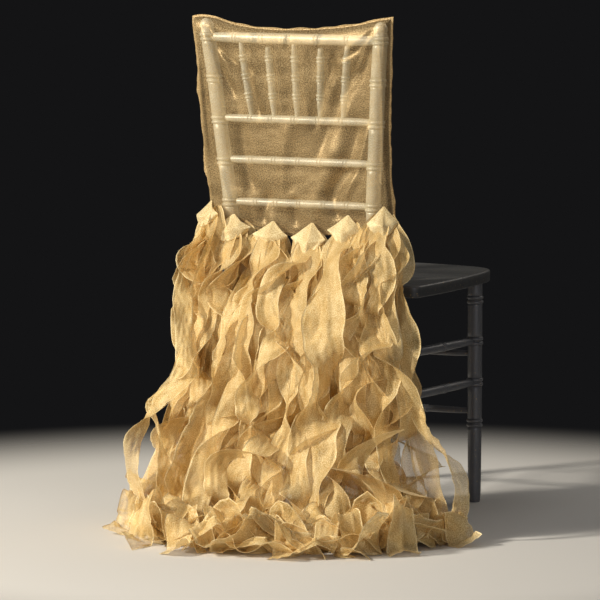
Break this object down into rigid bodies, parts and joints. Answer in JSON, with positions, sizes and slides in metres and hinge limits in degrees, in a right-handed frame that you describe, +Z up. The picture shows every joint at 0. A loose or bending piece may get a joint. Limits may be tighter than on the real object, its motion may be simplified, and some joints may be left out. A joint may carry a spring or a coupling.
{
  "type": "chair back cover with ribbon bunches on a spindle-back banquet chair",
  "caption": "Sheer organza sleeve over a spindle-back chair's back, with bunches of long curly ribbon that hang from its hem to the floor.",
  "frame": {"origin": "on the floor, midway between the chair's back posts, under the place where the posts pass the seat", "axes": "+X to the right as seen from behind the chair, +Y from the back towards the seat's front, +Z up"},
  "size_m": [0.7487, 0.8636, 0.925],
  "materials": {
    "gold_organza": "sheer, faint sheen",
    "gold_organza_strip": "sheer, faint sheen",
    "lacquered_wood": "satin silver-grey lacquer"
  },
  "bodies": {
    "root": {"back_panel": "gold_organza", "front_panel": "gold_organza", "bunch_1": "gold_organza_strip", "bunch_2": "gold_organza_strip", "bunch_3": "gold_organza_strip", "bunch_4": "gold_organza_strip", "bunch_5": "gold_organza_strip", "bunch_6": "gold_organza_strip", "rear_post_left": "lacquered_wood", "rear_post_right": "lacquered_wood", "front_leg_left": "lacquered_wood", "front_leg_right": "lacquered_wood", "seat": "lacquered_wood", "top_rail": "lacquered_wood", "rail_2": "lacquered_wood", "rail_3": "lacquered_wood", "rail_4": "lacquered_wood", "spindle_1": "lacquered_wood", "spindle_2": "lacquered_wood", "spindle_3": "lacquered_wood", "spindle_4": "lacquered_wood", "spindle_5": "lacquered_wood", "front_stretcher_upper": "lacquered_wood", "front_stretcher_lower": "lacquered_wood", "back_stretcher_upper": "lacquered_wood", "back_stretcher_lower": "lacquered_wood", "side_stretcher_left_upper": "lacquered_wood", "side_stretcher_left_lower": "lacquered_wood", "side_stretcher_right_upper": "lacquered_wood", "side_stretcher_right_lower": "lacquered_wood"}
  },
  "joints": []
}
